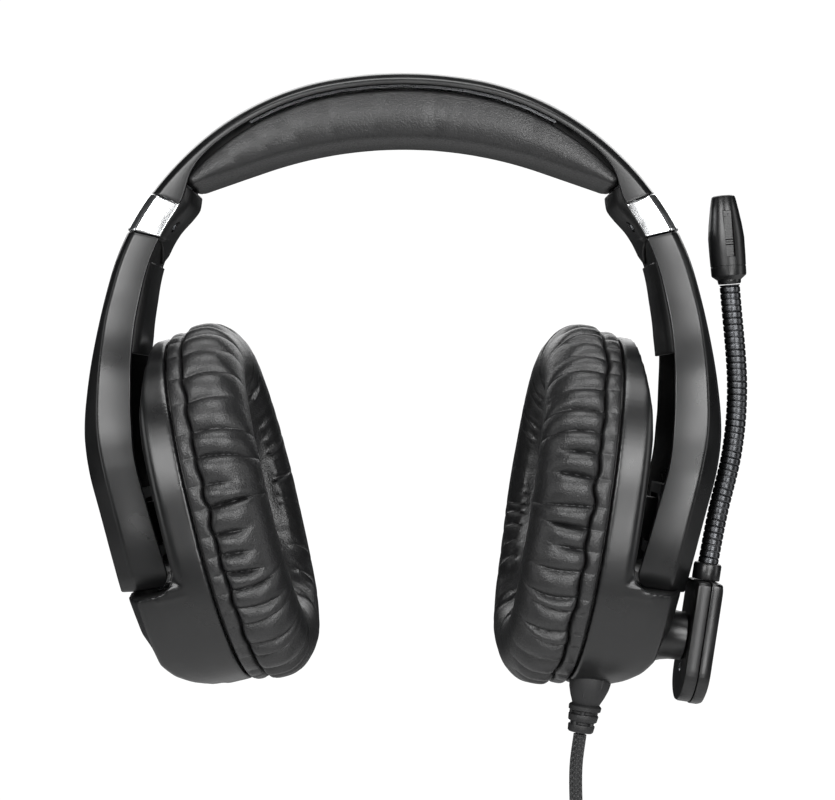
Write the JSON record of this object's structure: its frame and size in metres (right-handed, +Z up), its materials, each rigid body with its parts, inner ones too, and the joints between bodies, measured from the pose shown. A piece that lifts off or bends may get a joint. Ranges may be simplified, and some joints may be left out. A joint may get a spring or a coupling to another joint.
{
  "type": "gaming headset",
  "caption": "Black wired over-ear headset with padded headband, oval cushioned ear cups on sliding arms, gooseneck boom microphone and braided cable.",
  "frame": {"origin": "middle of the headband pad's underside, where the headset rests on a head", "axes": "+X from ear to ear towards the microphone side, -Y the side that the boom swings to, +Z up"},
  "size_m": [0.2026, 0.0879, 0.386],
  "materials": {
    "shell": "satin black",
    "plastic": "fine matt black",
    "chrome": "mirror",
    "leather": "black leatherette, fine grain",
    "steel": "brushed",
    "dark_metal": "blackened",
    "rubber": "matt",
    "braid": "woven sleeve",
    "cloth": "fine black cloth",
    "gold": "gold plated",
    "board": "printed circuit board"
  },
  "bodies": {
    "headband": {"headband_shell": "shell", "spring_band": "steel", "headband_liner": "plastic", "headband_pad": "leather", "crossover_wire": "rubber", "left_trim": "chrome", "left_slider_guide": "plastic", "left_guide_screw": "dark_metal", "right_trim": "chrome", "right_slider_guide": "plastic", "right_guide_screw": "dark_metal"},
    "left_arm": {"left_slider_strip": "steel", "left_arm_shell": "shell", "left_arm_cover": "plastic"},
    "left_bracket": {"left_pivot_bracket": "plastic", "left_swivel_pin": "steel"},
    "left_cup": {"left_cup_shell": "shell", "left_baffle": "plastic", "left_driver": "dark_metal", "left_driver_magnet": "steel", "left_grille_cloth": "cloth", "left_ear_pad": "leather"},
    "right_arm": {"right_slider_strip": "steel", "right_arm_shell": "shell", "right_arm_cover": "plastic"},
    "right_bracket": {"right_pivot_bracket": "plastic", "right_swivel_pin": "steel"},
    "right_cup": {"right_cup_shell": "shell", "right_baffle": "plastic", "right_driver": "dark_metal", "right_driver_magnet": "steel", "right_grille_cloth": "cloth", "right_ear_pad": "leather", "strain_relief": "rubber", "mic_stub": "shell", "cable_lead": "braid", "cable_hank": "braid", "cable_tie": "rubber", "cable_tail": "braid", "remote_front": "plastic", "remote_back": "plastic", "remote_board": "board", "cable_end": "braid", "plug_body": "rubber", "plug_contacts": "gold"},
    "boom": {"boom_base_inner": "plastic", "boom_base_outer": "shell", "boom_screw": "steel", "gooseneck_1": "dark_metal"},
    "neck_2": {"gooseneck_2": "dark_metal"},
    "neck_3": {"gooseneck_3": "dark_metal"},
    "neck_4": {"gooseneck_4": "dark_metal"},
    "mic": {"gooseneck_5": "dark_metal", "mic_housing": "shell", "mic_insert": "plastic", "mic_capsule": "steel"},
    "volume_wheel": {"volume_wheel": "rubber"},
    "mute_switch": {"mute_switch": "plastic"}
  },
  "joints": [
    {"name": "left_slider", "type": "hinge", "parent": "headband", "child": "left_arm", "pos_m": [0.0097, 0, -0.0789], "axis": [0, -1, 0], "range_deg": [0, 14]},
    {"name": "left_tilt", "type": "hinge", "parent": "left_arm", "child": "left_bracket", "pos_m": [-0.07915, 0, -0.11633], "axis": [0, 1, 0], "range_deg": [-1, 7]},
    {"name": "left_swivel", "type": "hinge", "parent": "left_bracket", "child": "left_cup", "pos_m": [-0.07915, 0, -0.11633], "axis": [0.2385, 0, -0.9711], "range_deg": [-5, 1]},
    {"name": "right_slider", "type": "hinge", "parent": "headband", "child": "right_arm", "pos_m": [-0.0097, 0, -0.0789], "axis": [0, 1, 0], "range_deg": [0, 14]},
    {"name": "right_tilt", "type": "hinge", "parent": "right_arm", "child": "right_bracket", "pos_m": [0.07838, 0, -0.11477], "axis": [0, -1, 0], "range_deg": [-2.8, 2]},
    {"name": "right_swivel", "type": "hinge", "parent": "right_bracket", "child": "right_cup", "pos_m": [0.07838, 0, -0.11477], "axis": [0.1513, 0, 0.9885], "range_deg": [-5, 1]},
    {"name": "boom_swing", "type": "hinge", "parent": "right_cup", "child": "boom", "pos_m": [0.08773, -0.009, -0.1506], "axis": [0.9861, 0.0698, -0.1509], "range_deg": [0, 130]},
    {"name": "neck_bend_1", "type": "hinge", "parent": "boom", "child": "neck_2", "pos_m": [0.0966, -0.0088, -0.11125], "axis": [0.9861, 0.0698, -0.1509], "range_deg": [-12, 12]},
    {"name": "neck_bend_2", "type": "hinge", "parent": "neck_2", "child": "neck_3", "pos_m": [0.10055, -0.00871, -0.09446], "axis": [0.9861, 0.0698, -0.1509], "range_deg": [-12, 12]},
    {"name": "neck_bend_3", "type": "hinge", "parent": "neck_3", "child": "neck_4", "pos_m": [0.10218, -0.00878, -0.0773], "axis": [0.9861, 0.0698, -0.1509], "range_deg": [-12, 12]},
    {"name": "neck_bend_4", "type": "hinge", "parent": "neck_4", "child": "mic", "pos_m": [0.10143, -0.00901, -0.06008], "axis": [0.9861, 0.0698, -0.1509], "range_deg": [-12, 12]},
    {"name": "volume_turn", "type": "hinge", "parent": "right_cup", "child": "volume_wheel", "pos_m": [0.0532, 0.0204, -0.273], "axis": [0, 1, 0], "range_deg": [-135, 135]},
    {"name": "mute_slide", "type": "slide", "parent": "right_cup", "child": "mute_switch", "axis": [0, 0, 1], "range_m": [-0.0015, 0.0015]}
  ],
  "couplings": [
    {"joint": "neck_bend_1", "follows": "neck_bend_4", "ratio": 1},
    {"joint": "neck_bend_2", "follows": "neck_bend_4", "ratio": 1},
    {"joint": "neck_bend_3", "follows": "neck_bend_4", "ratio": 1}
  ]
}
